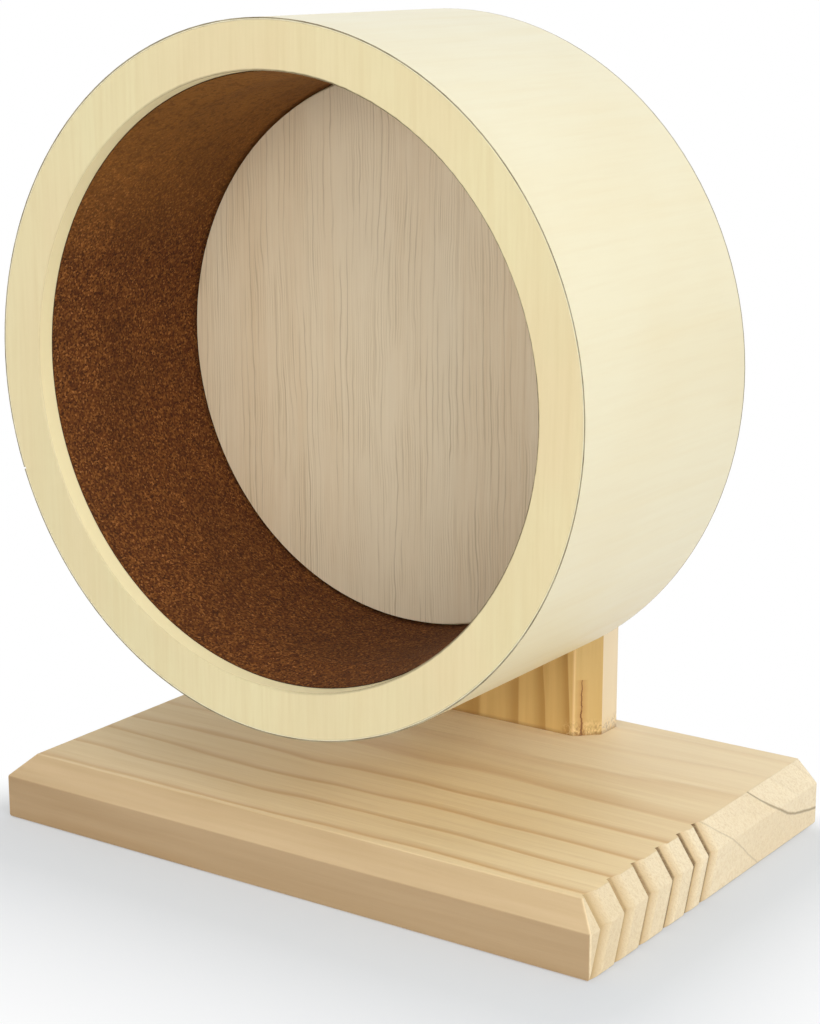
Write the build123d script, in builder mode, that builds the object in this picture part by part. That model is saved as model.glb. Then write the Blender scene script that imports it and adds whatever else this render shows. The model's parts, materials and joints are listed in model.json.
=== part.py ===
"""Small wooden running wheel on a one-post stand, in millimetres.

The stand is a thick pine board with a short chamfered post near its back edge. An axle bolt
through the post carries two ball bearings, and the drum turns on them: two rings, a bent
hoop and a bent shell under a wrap of veneer, a cork lining and a plywood back.

+Z is up, the drum's open mouth faces -Y, and the origin is the middle of the board's
underside.
"""

import os

from build123d import *

# Base board
base_width = 158.0
base_depth = 104.0
base_thickness = 15.0
board_chamfer = 5.0
edge_easing = 0.6

# Stepped growth rings on the board's right end
ring_distances = (4.4, 14.1, 24.0, 34.3, 43.6, 50.4)
ring_lean = 0.4
ring_groove_depth = 0.9
ring_groove_near_wall = 0.7
ring_groove_far_wall = 4.0

# Upright post
post_width = 56.0
post_thickness = 12.0
post_inset = 5.0
post_above_axle = 26.0

# Drum
opening_radius = 64.5
ring_width = 10.0
wheel_clearance = 20.5
running_depth = 51.0
front_ring_thickness = 4.0
rear_ring_thickness = 6.0
rear_recess = 1.0
veneer_thickness = 0.5
shell_thickness = 2.6
hoop_thickness = 2.0
cork_thickness = 2.0
cork_edge_thickness = 0.2
cork_feather_length = 12.0
facing_thickness = 2.0
facing_gap = 0.7
disc_thickness = 12.0
ring_easing = 0.4
seam_width = 0.4
veneer_seam_angle = 160.0
cork_seam_angle = -35.0
glue_gap = 0.05

# Hub boss on the back of the disc
boss_radius = 27.0
boss_thickness = 12.0
boss_chamfer = 1.5
boss_bore_radius = 9.0
hub_screw_distance = 19.0
hub_screw_count = 4
hub_screw_length = 20.0

# Ball bearings, 22 mm outside, 8 mm bore, 7 mm wide
bearing_radius = 11.0
bearing_bore_radius = 4.0
bearing_width = 7.0
inner_land_radius = 6.05
outer_land_radius = 9.05
ball_path_radius = 7.65
ball_radius = 1.984
ball_count = 7
ball_clearance = 0.03
shield_thickness = 0.35
shield_inset = 0.3
shield_seat_radius = 9.6
shield_gap = 0.25
cage_inner_radius = 7.0
cage_outer_radius = 8.35
cage_web = 0.45
cage_finger_reach = 0.8
pocket_clearance = 0.08

# Axle bolt and its hardware
axle_fit = 0.02
bolt_hole_clearance = 0.2
bolt_head_radius = 7.0
bolt_head_height = 4.0
bolt_head_rounding = 2.4
socket_across_flats = 5.0
socket_depth = 2.2
bolt_tip_chamfer = 0.8
speed_washer_radius = 5.8
speed_washer_thickness = 0.8
nut_across_flats = 13.0
nut_height = 6.5
nut_bevel = 0.9
post_washer_radius = 9.0
post_washer_thickness = 1.6
dome_nut_height = 12.0
dome_hex_height = 5.5
dome_radius = 6.2
dome_rounding = 5.4
dome_wall = 2.0
bolt_end_gap = 0.6

# Joints between post and board
dowel_radius = 3.0
dowel_length = 20.0
dowel_spacing = 40.0
dowel_end_gap = 0.5
dowel_chamfer = 0.6
screw_radius = 2.0
screw_head_radius = 4.0
screw_tip_length = 3.0
screw_recess_length = 4.0
screw_recess_width = 0.9
screw_recess_depth = 1.3
post_screw_spacing = 18.0
post_screw_length = 42.0

# Places along the axle, from the post forward
base_front = -base_depth / 2
base_back = base_depth / 2
post_back = base_back - post_inset
post_front = post_back - post_thickness
lock_nut_back = post_front - post_washer_thickness
lock_nut_front = lock_nut_back - nut_height
boss_back = lock_nut_front - speed_washer_thickness
rear_bearing_front = boss_back - bearing_width
disc_back = boss_back - boss_thickness
front_bearing_front = disc_back - bearing_width
disc_front = disc_back - disc_thickness
facing_front = disc_front - facing_thickness
wheel_front = facing_front - running_depth
wheel_back = disc_back + rear_recess
bolt_head_back = front_bearing_front - speed_washer_thickness
dome_nut_front = post_back + post_washer_thickness
bolt_end = dome_nut_front + dome_nut_height - dome_wall - bolt_end_gap

# Radii and heights that follow from the sizes above
core_radius = opening_radius + ring_width
wheel_radius = core_radius + veneer_thickness
cork_inner_radius = opening_radius - cork_thickness
axle_height = base_thickness + wheel_clearance + wheel_radius
post_height = axle_height + post_above_axle - base_thickness
post_middle = (post_front + post_back) / 2
bolt_radius = bearing_bore_radius - axle_fit
screw_head_height = screw_head_radius - screw_radius
axle_line = Axis((0, 0, axle_height), (0, 1, 0))


def axle_plane(place):
    """A plane across the axle, looking along +Y."""
    return Plane(origin=(0, place, axle_height), x_dir=(1, 0, 0), z_dir=(0, 1, 0))


def radial_plane(place):
    """A plane through the axle: local x is the radius and local y runs along the axle."""
    return Plane(origin=(0, place, axle_height), x_dir=(1, 0, 0), z_dir=(0, 0, 1))


def annulus(outer_radius, inner_radius, front, thickness):
    """A flat ring or a tube round the axle."""
    with BuildPart() as piece:
        with BuildSketch(axle_plane(front)):
            Circle(outer_radius)
            Circle(inner_radius, mode=Mode.SUBTRACT)
        extrude(amount=thickness)
    return piece


def rolled_sheet(outer_radius, inner_radius, front, length, seam_angle):
    """A sheet rolled into a tube, with its two ends meeting at an open seam."""
    reach = 4 * (outer_radius - inner_radius)
    with BuildPart() as piece:
        with BuildSketch(axle_plane(front)):
            Circle(outer_radius)
            Circle(inner_radius, mode=Mode.SUBTRACT)
            with PolarLocations((outer_radius + inner_radius) / 2, 1, start_angle=seam_angle):
                Rectangle(reach, seam_width, mode=Mode.SUBTRACT)
        extrude(amount=length)
    return piece


def wood_screws(plane, pattern, length):
    """Countersunk screws driven through a plane at a pattern's places, heads flush with it."""
    sunk = (Align.CENTER, Align.CENTER, Align.MAX)
    with BuildPart() as piece:
        with Locations(plane):
            with pattern():
                Cylinder(screw_radius, length - screw_tip_length, align=sunk)
                Cone(screw_radius, screw_head_radius, screw_head_height, align=sunk)
                with Locations((0, 0, screw_tip_length - length)):
                    Cone(screw_radius / 4, screw_radius, screw_tip_length, align=sunk)
                for turn in (0, 90):
                    Box(
                        screw_recess_length,
                        screw_recess_width,
                        screw_recess_depth,
                        rotation=(0, 0, turn),
                        align=sunk,
                        mode=Mode.SUBTRACT,
                    )
    return piece


def bevelled_outline(height):
    """Half outline of a hexagonal nut whose corners are turned off at both ends."""
    flat_radius = nut_across_flats / 2
    corner_radius = flat_radius * 2 / 3**0.5
    return [
        (0, 0),
        (flat_radius, 0),
        (corner_radius, nut_bevel),
        (corner_radius, height - nut_bevel),
        (flat_radius, height),
        (0, height),
    ]


def ball_bearing(front):
    """The separate pieces of one shielded ball bearing, from its front face back."""
    middle = bearing_width / 2
    groove_radius = ball_radius + ball_clearance
    shield_depth = shield_inset + shield_thickness

    with BuildPart() as inner_race:
        with BuildSketch(radial_plane(front)):
            with Locations(((bearing_bore_radius + inner_land_radius) / 2, middle)):
                Rectangle(inner_land_radius - bearing_bore_radius, bearing_width)
            with Locations((ball_path_radius, middle)):
                Circle(groove_radius, mode=Mode.SUBTRACT)
        revolve(axis=axle_line)

    with BuildPart() as outer_race:
        with BuildSketch(radial_plane(front)):
            with Locations(((outer_land_radius + bearing_radius) / 2, middle)):
                Rectangle(bearing_radius - outer_land_radius, bearing_width)
            with Locations((ball_path_radius, middle)):
                Circle(groove_radius, mode=Mode.SUBTRACT)
            for face in (shield_depth / 2, bearing_width - shield_depth / 2):
                with Locations(((outer_land_radius + shield_seat_radius) / 2, face)):
                    Rectangle(shield_seat_radius - outer_land_radius, shield_depth, mode=Mode.SUBTRACT)
        revolve(axis=axle_line)

    with BuildPart() as shields:
        for inset in (shield_inset, bearing_width - shield_depth):
            with BuildSketch(axle_plane(front + inset)):
                Circle(shield_seat_radius)
                Circle(inner_land_radius + shield_gap, mode=Mode.SUBTRACT)
            extrude(amount=shield_thickness)

    with BuildPart() as balls:
        with Locations(axle_plane(front + middle)):
            with PolarLocations(ball_path_radius, ball_count):
                Sphere(ball_radius)

    pocket_radius = ball_radius + pocket_clearance
    with BuildPart() as cage:
        with BuildSketch(axle_plane(front + middle - cage_finger_reach)):
            Circle(cage_outer_radius)
            Circle(cage_inner_radius, mode=Mode.SUBTRACT)
        extrude(amount=cage_finger_reach + pocket_radius + cage_web)
        with Locations(axle_plane(front + middle)):
            with PolarLocations(ball_path_radius, ball_count):
                Sphere(pocket_radius, mode=Mode.SUBTRACT)

    return {
        "inner_race": inner_race,
        "outer_race": outer_race,
        "shields": shields,
        "balls": balls,
        "cage": cage,
    }


# Thick pine board: three top edges chamfered, the rest eased, growth rings cut into one end
ring_edge_height = base_thickness - board_chamfer
ring_cut_length = 2 * base_thickness
dowel_hole_depth = dowel_length / 2 + dowel_end_gap
with BuildPart() as base_board:
    with BuildSketch():
        Rectangle(base_width, base_depth)
    extrude(amount=base_thickness)
    chamfered_edges = base_board.faces().sort_by(Axis.Z)[-1].edges().sort_by(Axis.Y)[:-1]
    chamfer(chamfered_edges, board_chamfer)
    fillet(base_board.edges(), edge_easing)
    for distance in ring_distances:
        valley = base_front + distance
        with BuildSketch(Plane.XY.offset(ring_edge_height)) as ring_groove:
            Polygon(
                (base_width / 2 + ring_groove_depth, valley - ring_groove_near_wall),
                (base_width / 2, valley - ring_groove_near_wall),
                (base_width / 2 - ring_groove_depth, valley),
                (base_width / 2, valley + ring_groove_far_wall),
                (base_width / 2 + ring_groove_depth, valley + ring_groove_far_wall),
                align=None,
            )
        extrude(ring_groove.sketch, ring_cut_length, dir=(0, -ring_lean, -1), mode=Mode.SUBTRACT)
        extrude(ring_groove.sketch, ring_cut_length, dir=(-1, ring_lean, 1), mode=Mode.SUBTRACT)
    with Locations(Plane((0, post_middle, base_thickness))):
        with GridLocations(dowel_spacing, 0, 2, 1):
            Hole(dowel_radius + glue_gap, dowel_hole_depth)
    with Locations(Plane((0, post_middle, 0), x_dir=(1, 0, 0), z_dir=(0, 0, -1))):
        with GridLocations(post_screw_spacing, 0, 2, 1):
            CounterSinkHole(
                screw_radius + glue_gap, screw_head_radius + glue_gap, counter_sink_angle=90
            )

# Upright post: chamfered down both front corners and over the top
with BuildPart() as upright_post:
    with BuildSketch(Plane.XY.offset(base_thickness)):
        with Locations((0, post_middle)):
            Rectangle(post_width, post_thickness)
    extrude(amount=post_height)
    chamfer(upright_post.edges().filter_by(Axis.Z).group_by(Axis.Y)[0], board_chamfer)
    top_edges = upright_post.faces().sort_by(Axis.Z)[-1].edges().sort_by(Axis.Y)[:-1]
    chamfer(top_edges, board_chamfer)
    with BuildSketch(axle_plane(post_front)):
        Circle(bolt_radius + bolt_hole_clearance)
    extrude(amount=post_thickness, mode=Mode.SUBTRACT)
    with Locations(Plane((0, post_middle, base_thickness), x_dir=(1, 0, 0), z_dir=(0, 0, -1))):
        with GridLocations(dowel_spacing, 0, 2, 1):
            Hole(dowel_radius + glue_gap, dowel_hole_depth)
        with GridLocations(post_screw_spacing, 0, 2, 1):
            Hole(screw_radius + glue_gap, post_screw_length - base_thickness + dowel_end_gap)

with BuildPart() as post_dowels:
    with Locations((0, post_middle, base_thickness)):
        with GridLocations(dowel_spacing, 0, 2, 1):
            Cylinder(dowel_radius, dowel_length)
    chamfer(post_dowels.edges().filter_by(GeomType.CIRCLE), dowel_chamfer)

post_screws = wood_screws(
    Plane((0, post_middle, 0), x_dir=(1, 0, 0), z_dir=(0, 0, -1)),
    lambda: GridLocations(post_screw_spacing, 0, 2, 1),
    post_screw_length,
)

# Drum wall: front ring, bent hoop and shell, rear ring, veneer wrap and cork lining
front_ring = annulus(core_radius, opening_radius, wheel_front, front_ring_thickness)
with front_ring:
    mouth_edges = front_ring.edges().filter_by(GeomType.CIRCLE).sort_by(Axis.Y)[:2]
    fillet(mouth_edges.sort_by(SortBy.RADIUS)[0], ring_easing)

wall_front = wheel_front + front_ring_thickness
wall_length = wheel_back - rear_ring_thickness - wall_front
rear_ring = annulus(core_radius, opening_radius, wheel_back - rear_ring_thickness, rear_ring_thickness)
inner_hoop = annulus(opening_radius + hoop_thickness, opening_radius, wall_front, wall_length)
outer_shell = annulus(core_radius, core_radius - shell_thickness, wall_front, wall_length)
outer_veneer = rolled_sheet(
    wheel_radius, core_radius + glue_gap, wheel_front, wheel_back - wheel_front, veneer_seam_angle
)
cork_tread = rolled_sheet(
    opening_radius - glue_gap,
    cork_inner_radius,
    wall_front,
    disc_front - wall_front,
    cork_seam_angle,
)

# The cork's front edge is feathered, so that it starts flush with the ring's mouth
with cork_tread:
    with Locations(axle_plane(wall_front)):
        Cone(
            opening_radius - glue_gap - cork_edge_thickness,
            cork_inner_radius,
            cork_feather_length,
            align=(Align.CENTER, Align.CENTER, Align.MIN),
            mode=Mode.SUBTRACT,
        )

# Back of the drum: structural disc, facing that hides the bolt head, boss behind
with BuildPart() as back_disc:
    with BuildSketch(axle_plane(disc_front)):
        Circle(opening_radius - glue_gap)
        Circle(bearing_radius, mode=Mode.SUBTRACT)
    extrude(amount=disc_thickness)
    with Locations(axle_plane(disc_back)):
        with PolarLocations(hub_screw_distance, hub_screw_count, start_angle=45):
            Hole(screw_radius + glue_gap, hub_screw_length - boss_thickness + dowel_end_gap)

with BuildPart() as disc_facing:
    with BuildSketch(axle_plane(facing_front)):
        Circle(cork_inner_radius - facing_gap)
    extrude(amount=facing_thickness)

with BuildPart() as hub_boss:
    with BuildSketch(axle_plane(disc_back)):
        Circle(boss_radius)
        Circle(boss_bore_radius, mode=Mode.SUBTRACT)
    extrude(amount=boss_thickness)
    rim = hub_boss.edges().filter_by(GeomType.CIRCLE).group_by(Axis.Y)[-1].sort_by(SortBy.RADIUS)[-1]
    chamfer(rim, boss_chamfer)
    with BuildSketch(axle_plane(rear_bearing_front)):
        Circle(bearing_radius)
    extrude(amount=bearing_width, mode=Mode.SUBTRACT)
    with Locations(axle_plane(boss_back)):
        with PolarLocations(hub_screw_distance, hub_screw_count, start_angle=45):
            CounterSinkHole(
                screw_radius + glue_gap, screw_head_radius + glue_gap, counter_sink_angle=90
            )

hub_screws = wood_screws(
    axle_plane(boss_back),
    lambda: PolarLocations(hub_screw_distance, hub_screw_count, start_angle=45),
    hub_screw_length,
)

# Bearings and the stack of hardware along the axle
front_bearing = ball_bearing(front_bearing_front)
rear_bearing = ball_bearing(rear_bearing_front)

bearing_spacer = annulus(
    speed_washer_radius, bearing_bore_radius, disc_back, rear_bearing_front - disc_back
)

with BuildPart() as speed_washers:
    for washer_front in (bolt_head_back, boss_back):
        with BuildSketch(axle_plane(washer_front)):
            Circle(speed_washer_radius)
            Circle(bearing_bore_radius, mode=Mode.SUBTRACT)
        extrude(amount=speed_washer_thickness)

with BuildPart() as axle_bolt:
    with BuildSketch(axle_plane(bolt_head_back - bolt_head_height)):
        Circle(bolt_head_radius)
    extrude(amount=bolt_head_height)
    fillet(axle_bolt.edges().sort_by(Axis.Y)[0], bolt_head_rounding)
    with BuildSketch(axle_plane(bolt_head_back)):
        Circle(bolt_radius)
    extrude(amount=bolt_end - bolt_head_back)
    chamfer(axle_bolt.edges().sort_by(Axis.Y)[-1], bolt_tip_chamfer)
    with BuildSketch(axle_plane(bolt_head_back - bolt_head_height)):
        RegularPolygon(socket_across_flats / 2, 6, major_radius=False)
    extrude(amount=socket_depth, mode=Mode.SUBTRACT)

with BuildPart() as axle_lock_nut:
    with BuildSketch(axle_plane(lock_nut_front)):
        RegularPolygon(nut_across_flats / 2, 6, major_radius=False)
    extrude(amount=nut_height)
    with BuildSketch(radial_plane(lock_nut_front)):
        Polygon(*bevelled_outline(nut_height), align=None)
    revolve(axis=axle_line, mode=Mode.INTERSECT)
    with BuildSketch(axle_plane(lock_nut_front)):
        Circle(bearing_bore_radius)
    extrude(amount=nut_height, mode=Mode.SUBTRACT)

with BuildPart() as post_washers:
    for washer_front in (lock_nut_back, post_back):
        with BuildSketch(axle_plane(washer_front)):
            Circle(post_washer_radius)
            Circle(bearing_bore_radius, mode=Mode.SUBTRACT)
        extrude(amount=post_washer_thickness)

with BuildPart() as dome_nut:
    with BuildSketch(axle_plane(dome_nut_front)):
        RegularPolygon(nut_across_flats / 2, 6, major_radius=False)
    extrude(amount=dome_hex_height)
    with BuildSketch(radial_plane(dome_nut_front)):
        Polygon(*bevelled_outline(dome_hex_height), align=None)
    revolve(axis=axle_line, mode=Mode.INTERSECT)
    with BuildSketch(axle_plane(dome_nut_front)):
        Circle(dome_radius)
    extrude(amount=dome_nut_height)
    fillet(dome_nut.edges().sort_by(Axis.Y)[-1], dome_rounding)
    with BuildSketch(axle_plane(dome_nut_front)):
        Circle(bearing_bore_radius)
    extrude(amount=dome_nut_height - dome_wall, mode=Mode.SUBTRACT)

pieces = {
    "base_board": base_board,
    "upright_post": upright_post,
    "post_dowels": post_dowels,
    "post_screws": post_screws,
    "front_ring": front_ring,
    "rear_ring": rear_ring,
    "inner_hoop": inner_hoop,
    "outer_shell": outer_shell,
    "outer_veneer": outer_veneer,
    "cork_tread": cork_tread,
    "back_disc": back_disc,
    "disc_facing": disc_facing,
    "hub_boss": hub_boss,
    "hub_screws": hub_screws,
    "bearing_spacer": bearing_spacer,
    "speed_washers": speed_washers,
    "axle_bolt": axle_bolt,
    "axle_lock_nut": axle_lock_nut,
    "post_washers": post_washers,
    "dome_nut": dome_nut,
}
for bearing_name, bearing in (("front_bearing", front_bearing), ("rear_bearing", rear_bearing)):
    for part_name, piece in bearing.items():
        pieces[f"{bearing_name}_{part_name}"] = piece

os.makedirs("parts", exist_ok=True)
for name, piece in pieces.items():
    piece.part.label = name
    export_step(piece.part, f"parts/{name}.step")
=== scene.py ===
import json
import math

import bmesh
import bpy
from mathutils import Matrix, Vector

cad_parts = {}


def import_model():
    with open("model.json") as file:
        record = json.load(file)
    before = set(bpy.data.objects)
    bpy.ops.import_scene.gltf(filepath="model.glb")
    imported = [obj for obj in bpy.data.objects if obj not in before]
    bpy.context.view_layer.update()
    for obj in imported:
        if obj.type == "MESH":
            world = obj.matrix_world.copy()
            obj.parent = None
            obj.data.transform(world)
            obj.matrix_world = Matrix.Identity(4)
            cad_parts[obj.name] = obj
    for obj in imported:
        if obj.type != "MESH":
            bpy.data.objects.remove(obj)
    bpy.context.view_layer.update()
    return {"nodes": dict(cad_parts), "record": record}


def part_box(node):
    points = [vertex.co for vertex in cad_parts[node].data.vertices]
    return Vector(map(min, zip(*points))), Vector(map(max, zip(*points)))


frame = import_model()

# Places that the finishes follow, in metres, read from the frame
BOARD_LOW, BOARD_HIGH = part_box("base_board")
POST_LOW, POST_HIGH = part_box("upright_post")
RING_LOW, RING_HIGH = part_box("front_ring")
VENEER_LOW, VENEER_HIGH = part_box("outer_veneer")
CORK_LOW, CORK_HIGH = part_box("cork_tread")
AXLE_HEIGHT = (RING_LOW.z + RING_HIGH.z) / 2
AXLE = (0.0, 0.0, AXLE_HEIGHT)
WHEEL_RADIUS = (VENEER_HIGH.x - VENEER_LOW.x) / 2
OPENING_RADIUS = (CORK_HIGH.x - CORK_LOW.x) / 2

# Shares of X, Y and Z that leave out one direction, for the distance from a line along it
ROUND_X = (0.0, 1.0, 1.0)
ROUND_Y = (1.0, 0.0, 1.0)
ROUND_Z = (1.0, 1.0, 0.0)

# The board's growth rings are arcs round a pith below it. Their distances are from its front
# face, at the height where the end's chamfer begins.
PITH = Vector((0.0, BOARD_LOW.y + 0.064, -0.019))
RING_EDGE_HEIGHT = 0.010
RING_DISTANCES = (0.0044, 0.0141, 0.0240, 0.0343, 0.0436, 0.0504)
INNER_RING_RADII = (0.0216, 0.0262)
RING_REACH = 0.080
LATEWOOD_WIDTH = 0.0017
LATEWOOD_END = 0.0005

# Both ends paint the rings as leaning lines, partly painted step shade, and a painted shade line for a long
# step curving down to the rear
RING_LEAN = 0.4
END_REACH = 0.104
LONG_STEP_START = 0.0773
LONG_STEP_LOW = 0.0027
LONG_STEP_DROP = 0.0123
LONG_STEP_REACH = 0.012
FAINT_STEP_START = 0.074
FAINT_STEP_LEAN = 1.27
STEP_LINE_REACH = 0.0005
STEP_LINE_CORE = 0.0001

# The post's rings, the edge of its chamfers, and the crack and torn fibres at its foot
POST_PITH = (-0.012, POST_HIGH.y + 0.030, 0.0)
POST_RING_SPACING = 0.0039
POST_CORNER = POST_HIGH.x - 0.005
CRACK_PLACE = POST_HIGH.x - 0.0036
CRACK_HEIGHT = 0.014
CRACK_BACK = POST_LOW.y + 0.0049
TORN_START = POST_HIGH.x - 0.009
TORN_FULL = POST_HIGH.x - 0.0045
TORN_HEIGHT = 0.0042

# The floor's shadow, partly real and partly painted, fades with the distance from the board, which counts
# for more on some sides
RIGHT_RATE = 1.6
LEFT_RATE = 3.5
FRONT_RATE = 1.0
BEHIND_RATE = 7.0
BEHIND_START = 0.045
REAR_LEFT_RATE = 4.0
REAR_LEFT_START = -0.050
SHADOW_REACH = 0.14
FADE_START = 0.018
FADE_END = 0.095
FLOOR_RADIUS = 4.0
FLOOR_SIDES = 96
FLOOR_DROP = 0.0001

# Light that the room gives to the part, where 1 would be white
ROOM_STRENGTH = 0.44

# The viewpoint, from a fit to the outlines of the drum and the board. Places and the seen range
# are in metres, angles in degrees, and the lens and the sensor in millimetres.
CAMERA_PLACE = (0.2911, -0.4212, 0.2013)
CAMERA_YAW = -34.67
CAMERA_PITCH = -13.94
LENS = 81.8
SENSOR_WIDTH = 36.0
NEAREST_SEEN = 0.01
FURTHEST_SEEN = 20.0

BLACK = (0.0, 0.0, 0.0, 1.0)
WHITE = (1.0, 1.0, 1.0, 1.0)


def shade(red, green, blue):
    """A linear colour from display values of 0 to 255."""

    def linear(level):
        level /= 255
        return level / 12.92 if level <= 0.04045 else ((level + 0.055) / 1.055) ** 2.4

    return (linear(red), linear(green), linear(blue), 1.0)


class Finish:
    """A material on the Principled shader, with short calls that add its nodes."""

    def __init__(self, name, roughness=0.6, **settings):
        self.material = bpy.data.materials.new(name)
        self.material.use_nodes = True
        self.tree = self.material.node_tree
        self.shader = self.tree.nodes["Principled BSDF"]
        self.shader.inputs["Roughness"].default_value = roughness
        for key, value in settings.items():
            self.shader.inputs[key.replace("_", " ")].default_value = value
        coordinates = self.tree.nodes.new("ShaderNodeTexCoord")
        self.place = coordinates.outputs["Object"]
        self.facing = self.split(coordinates.outputs["Normal"])
        self.x, self.y, self.z = self.split(self.place)

    def node(self, kind, inputs, **settings):
        """A new node, whose inputs are linked to sockets or set to plain values."""
        made = self.tree.nodes.new("ShaderNode" + kind)
        for key, value in settings.items():
            setattr(made, key, value)
        for key, value in inputs.items():
            if isinstance(value, bpy.types.NodeSocket):
                self.tree.links.new(value, made.inputs[key])
            else:
                made.inputs[key].default_value = value
        return made

    def split(self, vector):
        return self.node("SeparateXYZ", {0: vector}).outputs

    def math(self, operation, first, second=0.0):
        return self.node("Math", {0: first, 1: second}, operation=operation).outputs[0]

    def add(self, first, second):
        return self.math("ADD", first, second)

    def times(self, first, second):
        return self.math("MULTIPLY", first, second)

    def larger(self, first, second):
        return self.math("MAXIMUM", first, second)

    def absolute(self, value):
        return self.math("ABSOLUTE", value)

    def repeats(self, distance, spacing):
        """How far along its repeat a distance is, from 0 to 1."""
        return self.math("FRACT", self.math("DIVIDE", distance, spacing))

    def remap(self, value, low, high, to_low=0.0, to_high=1.0):
        names = ("Value", "From Min", "From Max", "To Min", "To Max")
        return self.node("MapRange", dict(zip(names, (value, low, high, to_low, to_high)))).outputs[0]

    def scaled(self, per_metre):
        """The place, stretched to this many features per metre along X, Y and Z."""
        return self.node("Mapping", {"Vector": self.place, "Scale": per_metre}).outputs[0]

    def noise(self, per_metre, detail=4.0, roughness=0.55, distortion=0.0):
        values = {
            "Vector": self.scaled(per_metre),
            "Scale": 1.0,
            "Detail": detail,
            "Roughness": roughness,
            "Distortion": distortion,
        }
        return self.node("TexNoise", values).outputs[0]

    def wander(self, reach, per_metre, detail):
        """A smooth offset of up to half of reach either way."""
        return self.times(self.add(self.noise(per_metre, detail=detail), -0.5), reach)

    def cells(self, per_metre):
        """Voronoi cells, with their distance and their random colour."""
        return self.node("TexVoronoi", {"Vector": self.scaled(per_metre), "Scale": 1.0}).outputs

    def mix(self, amount, first, second):
        inputs = {0: amount, 6: first, 7: second}
        return self.node("Mix", inputs, data_type="RGBA").outputs[2]

    def ramp(self, value, stops):
        made = self.node("ValToRGB", {0: value})
        elements = made.color_ramp.elements
        elements.remove(elements[0])
        for number, (place, colour) in enumerate(stops):
            element = elements[0] if number == 0 else elements.new(place)
            element.position, element.color = place, colour
        return made.outputs[0]

    def distance(self, centre, shares):
        """Distance from the line through a point along the direction that shares leaves out."""
        offset = self.node("VectorMath", {0: self.place, 1: centre}, operation="SUBTRACT").outputs[0]
        flat = self.node("VectorMath", {0: offset, 1: shares}, operation="MULTIPLY").outputs[0]
        return self.node("VectorMath", {0: flat}, operation="LENGTH").outputs["Value"]

    def paint(self, colour, roughness):
        self.tree.links.new(colour, self.shader.inputs["Base Color"])
        self.tree.links.new(roughness, self.shader.inputs["Roughness"])

    def bump(self, *layers):
        """Each layer is a height from 0 to 1 and its depth in metres."""
        normal = None
        for height, depth in layers:
            inputs = {"Height": height, "Distance": depth, "Strength": 1.0}
            if normal is not None:
                inputs["Normal"] = normal
            normal = self.node("Bump", inputs).outputs[0]
        self.tree.links.new(normal, self.shader.inputs["Normal"])


def growth_rings(pine):
    """The rings round the pith, as a colour and as the height of the harder latewood."""
    radii = [
        math.hypot(PITH.y - BOARD_LOW.y - distance, RING_EDGE_HEIGHT - PITH.z)
        for distance in RING_DISTANCES
    ]
    early, late = shade(242, 220, 176), shade(206, 162, 104)
    stops = [(0.0, early)]
    for radius in sorted((*radii, *INNER_RING_RADII)):
        stops += [
            ((radius - LATEWOOD_WIDTH) / RING_REACH, early),
            (radius / RING_REACH, late),
            ((radius + LATEWOOD_END) / RING_REACH, early),
        ]
    heights = [(place, BLACK if colour is early else WHITE) for place, colour in stops]

    # The rings waver less near the right end, where they have to meet its grooves
    calm_end = pine.remap(pine.x, BOARD_HIGH.x, 0.02, 0.12, 1.0)
    wave = pine.times(pine.wander(0.010, (9, 34, 34), detail=3), calm_end)
    from_pith = pine.add(pine.distance(PITH, ROUND_X), wave)
    place = pine.math("DIVIDE", from_pith, RING_REACH)
    calm_back = pine.remap(pine.y, -0.012, 0.030, 0.0, 0.55)
    colour = pine.mix(calm_back, pine.ramp(place, stops), early)
    return colour, pine.ramp(place, heights)


def board_faces(pine, rings, fibres):
    """The planed faces, with painted light on the back and painted shade on the left half and the front."""
    bands = pine.noise((10, 160, 160), detail=3)
    patches = pine.noise((14, 22, 22), detail=2)
    colour = pine.mix(pine.remap(fibres, 0.35, 0.7, 0.0, 0.30), rings, shade(204, 170, 122))
    colour = pine.mix(pine.remap(bands, 0.45, 0.75, 0.0, 0.28), colour, shade(214, 180, 130))
    colour = pine.mix(pine.remap(patches, 0.4, 0.7, 0.0, 0.25), colour, shade(248, 228, 190))
    # Painted light: paler towards the back.
    painted_light_back = pine.remap(pine.y, -0.020, 0.035, 0.0, 0.45)
    colour = pine.mix(painted_light_back, colour, shade(250, 234, 202))
    # Painted shade: greyer and darker on the left half.
    painted_shade_left = pine.remap(pine.x, 0.035, BOARD_LOW.x, 0.0, 0.55)
    colour = pine.mix(painted_shade_left, colour, shade(198, 174, 136))
    # Painted shade on the front face and its chamfer, darkest where the face is upright.
    front = pine.remap(pine.facing[1], -0.3, -0.8, 0.0, 0.9)
    front_painted_shade = pine.mix(pine.remap(bands, 0.35, 0.7), shade(188, 160, 122), shade(168, 138, 98))
    colour = pine.mix(front, colour, front_painted_shade)
    upright = pine.remap(pine.facing[1], -0.8, -0.95, 0.0, 0.35)
    return pine.mix(upright, colour, shade(140, 112, 78))


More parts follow.
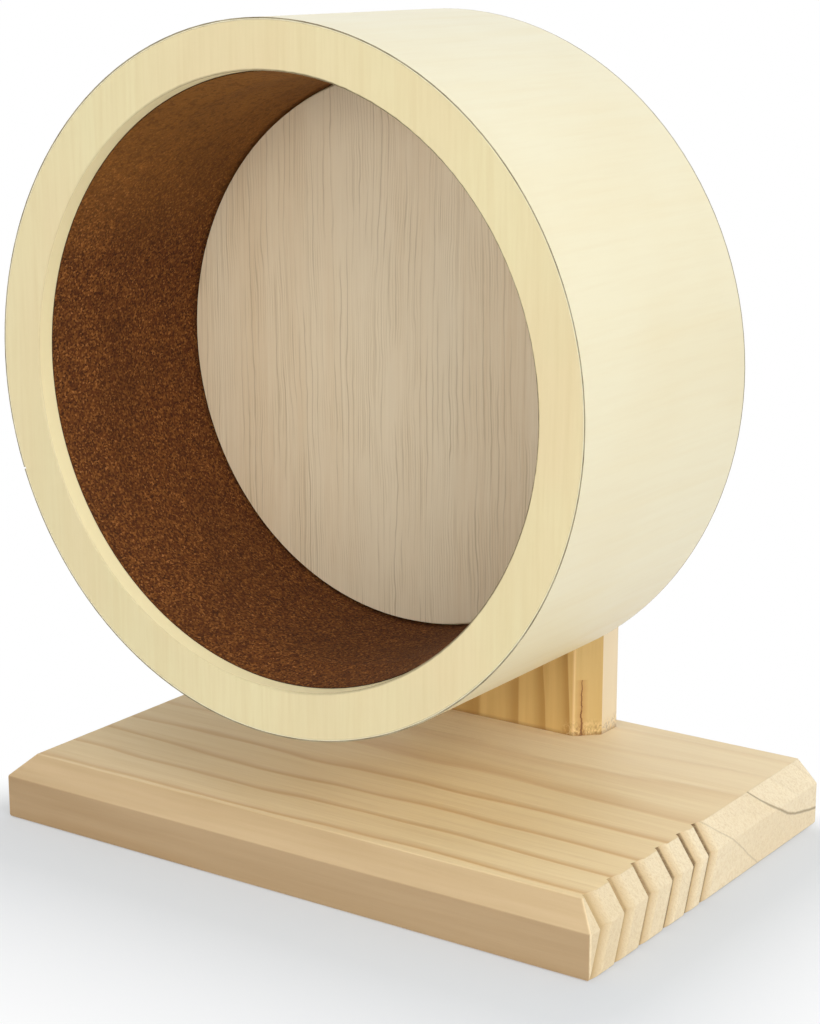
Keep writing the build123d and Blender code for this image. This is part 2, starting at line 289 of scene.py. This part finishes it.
def end_ring_lines(pine, along, height, ripple):
    """Per ring a dark line, partly latewood and partly painted step shade, painted shading across the step
    behind, darker lines further back.
    """
    light, mid, dark = shade(246, 231, 200), shade(216, 190, 146), shade(120, 92, 56)
    lines = (shade(190, 160, 114), shade(174, 142, 96), shade(138, 106, 66), dark, dark, dark)
    stops = [(0.0, light)]
    for distance, line in zip(RING_DISTANCES, lines):
        stops += [
            ((distance - 0.0007) / END_REACH, light),
            ((distance - 0.0001) / END_REACH, line),
            ((distance + 0.0010) / END_REACH, line),
            ((distance + 0.0014) / END_REACH, mid),
            ((distance + 0.0042) / END_REACH, light),
        ]
    from_front = pine.add(along, pine.times(pine.add(height, -RING_EDGE_HEIGHT), -RING_LEAN))
    wavering = pine.add(from_front, pine.times(ripple, 0.4))
    return pine.ramp(pine.math("DIVIDE", wavering, END_REACH), stops)


def step_line(pine, distance):
    """A thin line where the distance is nought."""
    return pine.remap(pine.absolute(distance), STEP_LINE_REACH, STEP_LINE_CORE)


def end_grain(pine, speckle):
    """The ends: granular, with ring lines that are partly painted shade, and painted shade lines for a long
    and a faint step near the back.
    """
    pores = pine.cells((1300, 1300, 1300))["Distance"]
    along = pine.add(pine.y, -BOARD_LOW.y)
    height = pine.add(pine.z, -BOARD_LOW.z)
    ripple = pine.wander(0.0012, (160, 160, 160), detail=2)
    past_rings = pine.remap(along, RING_DISTANCES[-1] + 0.006, LONG_STEP_START)

    # Painted shade: thin dark lines for a long step and a faint one, which the solid doesn't have, and a
    # little darker under the long step.
    past_start = pine.add(along, -LONG_STEP_START)
    decay = pine.math("EXPONENT", pine.times(past_start, -1 / LONG_STEP_REACH))
    step_height = pine.add(pine.times(decay, LONG_STEP_DROP), LONG_STEP_LOW)
    above_step = pine.add(pine.add(height, ripple), pine.times(step_height, -1.0))
    below = pine.remap(above_step, 0.0, -0.0006)
    long_step = pine.times(step_line(pine, above_step), past_rings)
    past_faint = pine.add(pine.add(along, pine.times(height, FAINT_STEP_LEAN)), -FAINT_STEP_START)
    faint_step = pine.times(step_line(pine, pine.add(past_faint, ripple)), 0.4)

    colour = end_ring_lines(pine, along, height, ripple)
    under_step = pine.times(pine.times(below, past_rings), 0.15)
    colour = pine.mix(under_step, colour, shade(214, 184, 138))
    colour = pine.mix(pine.remap(speckle, 0.44, 0.66, 0.0, 0.34), colour, shade(214, 186, 140))
    colour = pine.mix(pine.remap(pores, 0.22, 0.0, 0.0, 0.45), colour, shade(186, 152, 106))
    dark_front = pine.remap(pine.y, -0.005, BOARD_LOW.y, 0.0, 0.4)
    colour = pine.mix(dark_front, colour, shade(204, 180, 136))
    # Painted shade lines of the long and the faint step.
    painted_step_shade = pine.times(pine.larger(long_step, faint_step), 0.7)
    return pine.mix(painted_step_shade, colour, shade(138, 116, 80))


def board_pine():
    """Flat-sawn pine: rings round the pith, fibres along X and speckled end grain."""
    pine = Finish("pine_board", roughness=0.6)
    fibres = pine.noise((35, 900, 900), detail=5, roughness=0.6)
    speckle = pine.noise((1500, 1500, 1500), detail=3, roughness=0.7)
    rings, ring_height = growth_rings(pine)
    faces = board_faces(pine, rings, fibres)
    end_face = pine.remap(pine.absolute(pine.facing[0]), 0.4, 0.65)
    colour = pine.mix(end_face, faces, end_grain(pine, speckle))
    pine.paint(colour, pine.remap(fibres, 0.3, 0.75, 0.5, 0.68))
    pine.bump((ring_height, 0.00009), (fibres, 0.00010), (pine.times(speckle, end_face), 0.00018))
    return pine.material


def post_wood(pine, turn, fibres):
    """Upright rings and fibres, painted light and shade on chamfers and sides, and a painted highlight
    beside the front.
    """
    early, late = shade(220, 186, 120), shade(180, 140, 76)
    rings = pine.ramp(turn, [(0.0, early), (0.4, early), (0.86, late), (0.95, late), (1.0, early)])
    bands = pine.noise((110, 110, 4), detail=3)
    colour = pine.mix(pine.remap(fibres, 0.35, 0.7, 0.0, 0.35), rings, shade(200, 162, 96))
    colour = pine.mix(pine.remap(bands, 0.45, 0.7, 0.0, 0.45), colour, shade(182, 142, 74))
    # Painted light and shade by facing: a duller tone on the chamfers and a much paler one on the sides.
    sideways = pine.absolute(pine.facing[0])
    colour = pine.mix(pine.remap(sideways, 0.2, 0.6, 0.0, 0.45), colour, shade(202, 176, 120))
    # Painted highlight: a pale line along the edge where each chamfer meets the front.
    from_corner = pine.absolute(pine.add(pine.absolute(pine.x), -POST_CORNER))
    near_corner = pine.remap(from_corner, 0.0005, 0.0002, 0.0, 0.7)
    near_front = pine.remap(pine.y, POST_LOW.y + 0.0006, POST_LOW.y)
    colour = pine.mix(pine.times(near_corner, near_front), colour, shade(244, 212, 158))
    colour = pine.mix(pine.remap(sideways, 0.75, 0.95, 0.0, 0.82), colour, shade(250, 235, 206))
    end_face = pine.remap(pine.absolute(pine.facing[2]), 0.85, 0.99)
    speckle = pine.noise((1500, 1500, 1500), detail=3, roughness=0.7)
    speckled_end = pine.times(end_face, pine.remap(speckle, 0.3, 0.7, 0.2, 0.8))
    return pine.mix(speckled_end, colour, shade(208, 168, 110))


def post_crack(pine, above_foot):
    """A drying crack up the right-hand chamfer, its dark line painted shade, and the brown wood on both
    sides of it.
    """
    bend = pine.wander(0.0009, (1, 1, 420), detail=3)
    from_crack = pine.absolute(pine.add(pine.add(pine.x, bend), -CRACK_PLACE))
    width = pine.remap(above_foot, 0.0, CRACK_HEIGHT, 0.00017, 0.00006)
    broken = pine.remap(pine.noise((40, 40, 260), detail=2), 0.36, 0.44)
    in_height = pine.math("LESS_THAN", above_foot, CRACK_HEIGHT)
    in_reach = pine.times(in_height, pine.math("LESS_THAN", pine.y, CRACK_BACK))
    # Painted shade: the dark line inside the crack.
    crack = pine.times(pine.times(pine.math("LESS_THAN", from_crack, width), broken), in_reach)
    brown = pine.times(pine.remap(from_crack, 0.0012, 0.0, 0.0, 0.45), in_reach)
    return crack, brown


def post_pine():
    """Pine with its fibres upright, darker bands, and a cracked, torn corner at the foot."""
    pine = Finish("pine_post", roughness=0.6)
    wave = pine.wander(0.006, (26, 26, 7), detail=3)
    turn = pine.repeats(pine.add(pine.distance(POST_PITH, ROUND_Z), wave), POST_RING_SPACING)
    fibres = pine.noise((900, 900, 30), detail=5, roughness=0.6)
    colour = post_wood(pine, turn, fibres)

    above_foot = pine.add(pine.z, -BOARD_HIGH.z)
    crack, brown = post_crack(pine, above_foot)
    near_corner = pine.remap(pine.x, TORN_START, TORN_FULL)
    torn_part = pine.times(near_corner, pine.remap(above_foot, TORN_HEIGHT, 0.0005))
    flecks = pine.noise((700, 700, 420), detail=3, roughness=0.75, distortion=1.5)
    torn_light = pine.times(torn_part, pine.remap(flecks, 0.50, 0.56))
    torn_dark = pine.times(torn_part, pine.remap(flecks, 0.46, 0.40))
    foot = pine.remap(above_foot, 0.0010, 0.0001, 0.0, 0.55)
    colour = pine.mix(brown, colour, shade(176, 112, 52))
    colour = pine.mix(pine.times(torn_light, 0.8), colour, shade(246, 216, 160))
    # Darker at the crack, as painted shade, along the foot and at the dark torn flecks.
    dark = pine.larger(pine.larger(crack, foot), pine.times(torn_dark, 0.7))
    colour = pine.mix(pine.times(dark, 0.85), colour, shade(120, 74, 34))
    pine.paint(colour, pine.remap(fibres, 0.3, 0.75, 0.5, 0.68))
    pine.bump(
        (turn, 0.00005),
        (fibres, 0.00010),
        (pine.math("SUBTRACT", 1.0, crack), 0.0003),
        (pine.times(flecks, torn_part), 0.0006),
    )
    return pine.material


def mouth_burn_and_painted_light(ply, colour):
    """A cut face inside the mouth painted paler, as painted light, and a dark line along its edge, partly
    burn and partly painted shade, darker on the right.
    """
    offset = ply.node("VectorMath", {0: ply.place, 1: AXLE}, operation="SUBTRACT").outputs[0]
    right, _, up = ply.split(offset)
    rightward = ply.add(ply.times(right, 1.0 / OPENING_RADIUS), ply.times(up, 0.35 / OPENING_RADIUS))
    # Painted shade: the line is strongest towards the upper right.
    strength = ply.remap(rightward, -0.35, 0.55, 0.12, 0.85)
    rough_edge = ply.times(ply.noise((400, 400, 400), detail=2), 0.0003)
    radius = ply.add(ply.distance(AXLE, ROUND_Y), rough_edge)
    line = ply.remap(radius, OPENING_RADIUS + 0.0007, OPENING_RADIUS + 0.00035)
    front = ply.remap(ply.facing[1], -0.05, -0.4)
    mark = ply.times(ply.times(line, strength), front)
    # Painted light: the cut face inside the mouth is painted paler.
    cut_face = ply.remap(ply.absolute(ply.facing[1]), 0.5, 0.2)
    colour = ply.mix(ply.times(cut_face, 0.95), colour, shade(253, 243, 198))
    return ply.mix(mark, colour, shade(92, 72, 36))


def ring_cream(name, burnt):
    """Pale faced plywood with faint upright grain; where the ring has a mouth, a burnt line that is partly
    painted shade, and painted light inside.
    """
    ply = Finish(name, roughness=0.5)
    grain = ply.noise((330, 330, 8), detail=3, roughness=0.6, distortion=0.15)
    fibres = ply.noise((1100, 1100, 60), detail=5, roughness=0.6)
    patches = ply.noise((26, 26, 12), detail=3)
    green = ply.noise((30, 30, 22), detail=2)
    colour = ply.mix(ply.remap(patches, 0.42, 0.68, 0.0, 0.55), shade(222, 210, 167), shade(218, 197, 156))
    colour = ply.mix(ply.remap(green, 0.5, 0.75, 0.0, 0.4), colour, shade(214, 209, 165))
    colour = ply.mix(ply.remap(grain, 0.50, 0.68, 0.0, 0.24), colour, shade(208, 188, 140))
    colour = ply.mix(ply.remap(fibres, 0.42, 0.7, 0.0, 0.30), colour, shade(209, 192, 144))
    if burnt:
        colour = mouth_burn_and_painted_light(ply, colour)
    ply.paint(colour, ply.remap(fibres, 0.3, 0.75, 0.42, 0.58))
    ply.bump((grain, 0.00002), (fibres, 0.00005))
    return ply.material


def veneer_wrap():
    """Smooth pale wrap: faint streaks across it, and dark lines along its front and rear edges."""
    wrap = Finish("pale_veneer", roughness=0.42, Coat_Weight=0.3, Coat_Roughness=0.35)
    streaks = wrap.noise((260, 14, 260), detail=4)
    clouds = wrap.noise((22, 18, 22), detail=2)
    fibres = wrap.noise((900, 40, 900), detail=4, roughness=0.6)
    colour = wrap.mix(wrap.remap(clouds, 0.4, 0.7, 0.0, 0.5), shade(237, 230, 199), shade(231, 218, 179))
    colour = wrap.mix(wrap.remap(streaks, 0.45, 0.75, 0.0, 0.13), colour, shade(232, 212, 168))
    colour = wrap.mix(wrap.remap(fibres, 0.45, 0.75, 0.0, 0.09), colour, shade(214, 190, 144))
    from_axle = wrap.distance(AXLE, ROUND_Y)
    edge = wrap.remap(wrap.absolute(wrap.facing[1]), 0.5, 0.8)
    outer_part = wrap.remap(from_axle, WHEEL_RADIUS - 0.00035, WHEEL_RADIUS - 0.00025)
    rear_line = wrap.remap(wrap.y, VENEER_HIGH.y - 0.00035, VENEER_HIGH.y - 0.00025)
    edge_wear = wrap.remap(wrap.noise((160, 160, 160), detail=3), 0.3, 0.75, 0.95, 0.6)
    burnt = wrap.larger(wrap.times(edge, outer_part), rear_line)
    colour = wrap.mix(wrap.times(burnt, edge_wear), colour, shade(92, 76, 36))
    wrap.paint(colour, wrap.add(wrap.remap(streaks, 0.3, 0.75, 0.36, 0.5), wrap.times(burnt, 0.4)))
    wrap.bump((streaks, 0.00003), (fibres, 0.00003))
    return wrap.material


def cork_lining():
    """Dark granulated cork: packed grains of several browns, with painted light making it lighter towards
    the top.
    """
    cork = Finish("cork", roughness=0.85, Specular_IOR_Level=0.2)
    grain = cork.cells((2500, 2500, 2500))
    coarse = cork.cells((1150, 1150, 1150))
    tone = cork.split(grain["Color"])[0]
    coarse_tone = cork.split(coarse["Color"])[1]
    colour = cork.ramp(
        tone,
        [
            (0.0, shade(40, 17, 5)),
            (0.35, shade(86, 44, 17)),
            (0.7, shade(112, 66, 27)),
            (0.95, shade(146, 92, 42)),
            (1.0, shade(168, 112, 60)),
        ],
    )
    # Painted light: lighter towards the top.
    wear_and_painted_light = cork.remap(cork.z, AXLE_HEIGHT + 0.020, AXLE_HEIGHT + 0.058, 0.0, 0.8)
    colour = cork.mix(wear_and_painted_light, colour, shade(158, 106, 46))
    colour = cork.mix(cork.remap(coarse_tone, 0.55, 1.0, 0.0, 0.42), colour, shade(60, 28, 10))
    fine = cork.noise((3000, 3000, 3000), detail=3, roughness=0.7)
    colour = cork.mix(cork.remap(fine, 0.45, 0.75, 0.0, 0.4), colour, shade(138, 86, 36))
    clouds = cork.noise((45, 45, 45), detail=3)
    colour = cork.mix(cork.remap(clouds, 0.4, 0.7, 0.0, 0.25), colour, shade(72, 40, 14))
    # Painted shade: the cork's cut front edge is painted dark.
    cut_end = cork.remap(cork.absolute(cork.facing[1]), 0.5, 0.8, 0.0, 0.85)
    colour = cork.mix(cut_end, colour, shade(54, 36, 16))
    cork.paint(colour, cork.remap(fine, 0.3, 0.75, 0.75, 0.95))
    cork.bump((cork.remap(coarse["Distance"], 0.0, 0.7, 1.0, 0.0), 0.00006), (fine, 0.00012))
    return cork.material


def facing_grain():
    """Beige back facing with fine wavy upright lines and wider tonal bands."""
    board = Finish("facing_board", roughness=0.55)
    fibres = board.noise((1300, 1300, 30), detail=5, roughness=0.65)
    bands = board.noise((60, 60, 3), detail=2)
    sway = board.wander(0.0090, (34, 34, 9), detail=2)
    wiggle = board.wander(0.0016, (260, 260, 70), detail=2)
    across = board.add(board.x, board.add(sway, wiggle))

    def grain_lines(spacing, half_width, patches_per_metre):
        """Evenly spaced lines that follow the sway and fade in and out in patches."""
        from_line = board.absolute(board.add(board.repeats(across, spacing), -0.5))
        line = board.remap(from_line, half_width / spacing, 0.3 * half_width / spacing)
        fading = board.remap(board.noise(patches_per_metre, detail=2), 0.44, 0.60)
        return board.times(line, fading)

    strong = grain_lines(0.0017, 0.00022, (190, 190, 26))
    fine = grain_lines(0.00067, 0.00015, (120, 120, 40))
    colour = board.mix(board.remap(bands, 0.4, 0.65), shade(230, 213, 182), shade(225, 203, 168))
    colour = board.mix(board.remap(fibres, 0.36, 0.66, 0.0, 0.5), colour, shade(238, 223, 194))
    colour = board.mix(board.times(strong, 0.46), colour, shade(176, 152, 112))
    colour = board.mix(board.times(fine, 0.34), colour, shade(186, 162, 122))
    board.paint(colour, board.remap(fibres, 0.3, 0.75, 0.46, 0.62))
    board.bump((strong, 0.00003), (fibres, 0.00006))
    return board.material


def plywood(name, light, dark, layer_pair):
    """Faced plywood: upright grain on the flats and, on the rims, a light and a dark ply in turn."""
    ply = Finish(name, roughness=0.55)
    wave = ply.wander(0.020, (26, 26, 9), detail=3)
    lines = ply.repeats(ply.add(ply.x, wave), 0.0072)
    rings = ply.ramp(lines, [(0.0, light), (0.5, light), (0.9, dark), (1.0, light)])
    fibres = ply.noise((1000, 1000, 34), detail=5, roughness=0.6)
    patches = ply.noise((24, 24, 10), detail=3)
    colour = ply.mix(0.55, light, rings)
    colour = ply.mix(ply.remap(fibres, 0.4, 0.7, 0.0, 0.4), colour, dark)
    colour = ply.mix(ply.remap(patches, 0.4, 0.7, 0.0, 0.3), colour, light)
    stack = ply.math("GREATER_THAN", ply.repeats(ply.y, layer_pair), 0.5)
    pores = ply.noise((1500, 1500, 1500), detail=2, roughness=0.7)
    rim_colour = ply.mix(stack, light, dark)
    rim_colour = ply.mix(ply.remap(pores, 0.4, 0.7, 0.0, 0.5), rim_colour, shade(120, 84, 48))
    rim = ply.remap(ply.absolute(ply.facing[1]), 0.6, 0.3)
    colour = ply.mix(rim, colour, rim_colour)
    ply.paint(colour, ply.remap(fibres, 0.3, 0.75, 0.46, 0.62))
    ply.bump((lines, 0.00002), (fibres, 0.00006), (ply.times(pores, rim), 0.0001))
    return ply.material


def metal(name, colour, wear_and_painted_light, roughness, turned=None):
    """Metal with fine marks, a varied gloss and, where turned, rings round the axle."""
    steel = Finish(name, roughness=roughness, Metallic=1.0)
    marks = steel.noise((900, 900, 900), detail=4, roughness=0.65)
    smears = steel.noise((180, 180, 180), detail=3)
    tint = steel.mix(steel.remap(marks, 0.35, 0.7, 0.0, 0.35), colour, wear_and_painted_light)
    tint = steel.mix(steel.remap(smears, 0.45, 0.75, 0.0, 0.3), tint, wear_and_painted_light)
    gloss = steel.remap(marks, 0.3, 0.75, roughness - 0.06, roughness + 0.1)
    steel.paint(tint, steel.add(gloss, steel.times(smears, 0.06)))
    layers = [(marks, 0.000012)]
    if turned:
        radius = steel.distance(AXLE, ROUND_Y)
        rings = steel.math("SINE", steel.times(radius, 2 * math.pi / turned))
        layers.append((rings, 0.000006))
    steel.bump(*layers)
    return steel.material


def nylon(name, colour, shadow):
    """Natural nylon: slightly see-through white with a fine moulded grain."""
    plastic = Finish(name, roughness=0.45, Subsurface_Weight=0.15, Subsurface_Scale=0.001)
    grain = plastic.noise((1500, 1500, 1500), detail=3)
    clouds = plastic.noise((200, 200, 200), detail=2)
    tint = plastic.mix(plastic.remap(clouds, 0.4, 0.7, 0.0, 0.4), colour, shadow)
    plastic.paint(tint, plastic.remap(grain, 0.3, 0.7, 0.38, 0.55))
    plastic.bump((grain, 0.00002))
    return plastic.material


FINISHES = {
    "pine_board": board_pine(),
    "pine_post": post_pine(),
    "beech": plywood("beech", shade(214, 176, 132), shade(182, 138, 94), 0.004),
    "ring_face": ring_cream("ring_face", burnt=True),
    "rear_ring_ply": ring_cream("rear_ring_ply", burnt=False),
    "bent_ply": plywood("bent_ply", shade(226, 204, 158), shade(196, 162, 112), 0.0013),
    "pale_veneer": veneer_wrap(),
    "cork": cork_lining(),
    "disc_ply": plywood("disc_ply", shade(228, 208, 164), shade(200, 168, 118), 0.0024),
    "facing_board": facing_grain(),
    "boss_ply": plywood("boss_ply", shade(222, 194, 144), shade(168, 124, 76), 0.0024),
    "zinc_screw": metal("zinc_screw", shade(196, 190, 168), shade(168, 158, 128), 0.34),
    "zinc_bolt": metal("zinc_bolt", shade(196, 198, 202), shade(158, 162, 170), 0.32),
    "bright_steel": metal("bright_steel", shade(204, 204, 204), shade(172, 172, 174), 0.26, turned=0.0003),
    "polished_nut": metal("polished_nut", shade(214, 215, 217), shade(188, 189, 192), 0.14),
    "bearing_steel": metal("bearing_steel", shade(206, 208, 210), shade(180, 182, 186), 0.18, turned=0.0004),
    "ball_steel": metal("ball_steel", shade(224, 226, 228), shade(206, 208, 212), 0.08),
    "shield_steel": metal("shield_steel", shade(190, 192, 194), shade(164, 166, 170), 0.3, turned=0.00035),
    "cage_nylon": nylon("cage_nylon", shade(232, 228, 214), shade(214, 208, 188)),
}
for subpart in frame["record"]["subparts"]:
    mesh = frame["nodes"][subpart["node"]].data
    mesh.materials.clear()
    mesh.materials.append(FINISHES[subpart["material_slot"]])


def distance_from_board(surface):
    """How far a place on the floor lies from the board, as the fade counts it on each side."""

    def past(distance, rate):
        return surface.larger(surface.times(distance, rate), 0.0)

    leftward = surface.times(surface.x, -1.0)
    forward = surface.times(surface.y, -1.0)
    right = past(surface.add(surface.x, -BOARD_HIGH.x), RIGHT_RATE)
    left = past(surface.add(leftward, BOARD_LOW.x), LEFT_RATE)
    before = past(surface.add(forward, BOARD_LOW.y), FRONT_RATE)
    behind = past(surface.add(surface.y, -BEHIND_START), BEHIND_RATE)
    beside = surface.math("LESS_THAN", surface.x, BOARD_LOW.x)
    rear_left = surface.times(surface.add(surface.y, -REAR_LEFT_START), REAR_LEFT_RATE)
    past_x = surface.add(right, left)
    past_y = surface.larger(surface.add(before, behind), surface.times(rear_left, beside))
    squares = surface.add(surface.times(past_x, past_x), surface.times(past_y, past_y))
    return surface.math("SQRT", squares)


def floor_finish():
    """Plain grey to most light. The camera, gloss and glass see a shadow, partly real and partly painted,
    that fades to white.
    """
    surface = Finish("pale_floor", roughness=0.9)
    tree = surface.tree
    ground = surface.shader
    ground.inputs["Base Color"].default_value = (0.8, 0.8, 0.8, 1.0)
    ground.inputs["Specular IOR Level"].default_value = 0.1
    path = surface.node("LightPath", {}).outputs
    seen = surface.larger(path["Is Camera Ray"], path["Is Glossy Ray"])
    seen = surface.larger(seen, path["Is Transmission Ray"])
    from_board = distance_from_board(surface)
    soft = surface.node("BsdfDiffuse", {"Color": (0.375, 0.395, 0.42, 1.0)}).outputs[0]
    # Painted shadow: the floor's own glow is weaker near the board.
    strength = surface.remap(from_board, 0.0, SHADOW_REACH, 0.35, 0.60)
    lift = surface.node("Emission", {"Color": WHITE, "Strength": strength}).outputs[0]
    shadowed = surface.node("AddShader", {0: soft, 1: lift}).outputs[0]
    white = surface.node("Emission", {"Color": WHITE, "Strength": 1.0}).outputs[0]
    fade = surface.remap(from_board, FADE_START, FADE_END)
    shown = surface.node("MixShader", {0: fade, 1: shadowed, 2: white}).outputs[0]
    both = surface.node("MixShader", {0: seen, 1: ground.outputs[0], 2: shown}).outputs[0]
    tree.links.new(both, tree.nodes["Material Output"].inputs["Surface"])
    return surface.material


def floor():
    """A wide round floor just under the board."""
    shape = bmesh.new()
    bmesh.ops.create_circle(shape, cap_ends=True, radius=FLOOR_RADIUS, segments=FLOOR_SIDES)
    mesh = bpy.data.meshes.new("floor")
    shape.to_mesh(mesh)
    shape.free()
    mesh.materials.append(floor_finish())
    made = bpy.data.objects.new("floor", mesh)
    bpy.context.scene.collection.objects.link(made)
    made.location.z = BOARD_LOW.z - FLOOR_DROP


def world():
    """A soft grey-white room, which the camera, gloss and glass see as white."""
    sky = bpy.data.worlds.new("studio")
    bpy.context.scene.world = sky
    sky.use_nodes = True
    tree = sky.node_tree
    path = tree.nodes.new("ShaderNodeLightPath").outputs
    seen = path["Is Camera Ray"]
    for ray in ("Is Transmission Ray", "Is Glossy Ray"):
        larger = tree.nodes.new("ShaderNodeMath")
        larger.operation = "MAXIMUM"
        tree.links.new(seen, larger.inputs[0])
        tree.links.new(path[ray], larger.inputs[1])
        seen = larger.outputs[0]
    strength = tree.nodes.new("ShaderNodeMapRange")
    strength.inputs["To Min"].default_value = ROOM_STRENGTH
    strength.inputs["To Max"].default_value = 1.0
    tree.links.new(seen, strength.inputs["Value"])
    tree.links.new(strength.outputs[0], tree.nodes["Background"].inputs["Strength"])
    tree.nodes["Background"].inputs["Color"].default_value = WHITE


def lamp(name, place, size, power, colour, gloss=True):
    """A round soft lamp that points at the axle. Without gloss it makes no highlights."""
    light = bpy.data.lights.new(name, "AREA")
    light.shape, light.size, light.energy = "DISK", size, power
    light.color = colour
    made = bpy.data.objects.new(name, light)
    made.visible_glossy = gloss
    made.location = place
    made.rotation_mode = "QUATERNION"
    made.rotation_quaternion = (Vector(AXLE) - made.location).to_track_quat("-Z", "Y")
    bpy.context.scene.collection.objects.link(made)


def camera():
    """The photograph's viewpoint."""
    data = bpy.data.cameras.new("camera")
    data.lens, data.sensor_width = LENS, SENSOR_WIDTH
    data.clip_start, data.clip_end = NEAREST_SEEN, FURTHEST_SEEN
    made = bpy.data.objects.new("camera", data)
    made.location = CAMERA_PLACE
    made.rotation_mode = "QUATERNION"
    yaw, pitch = math.radians(CAMERA_YAW), math.radians(CAMERA_PITCH)
    ahead = Vector((math.sin(yaw) * math.cos(pitch), math.cos(yaw) * math.cos(pitch), math.sin(pitch)))
    made.rotation_quaternion = ahead.to_track_quat("-Z", "Y")
    bpy.context.scene.collection.objects.link(made)
    bpy.context.scene.camera = made


floor()
world()
lamp("key", place=(1.3, -0.8, 0.9), size=1.0, power=11.0, colour=(1.0, 0.985, 0.96))
lamp("front", place=(0.2, -1.5, 0.35), size=0.8, power=6.4, colour=(1.0, 0.995, 0.98))
lamp("top", place=(0.1, -0.2, 1.5), size=1.2, power=5.9, colour=(0.97, 0.995, 1.0))
lamp("back", place=(-0.7, 1.3, 0.30), size=0.5, power=3.2, colour=(1.0, 0.99, 0.97), gloss=False)
lamp("bounce", place=(0.60, -0.35, 0.03), size=0.30, power=0.65, colour=(1.0, 0.86, 0.62))
camera()
bpy.context.scene.view_settings.view_transform = "Standard"
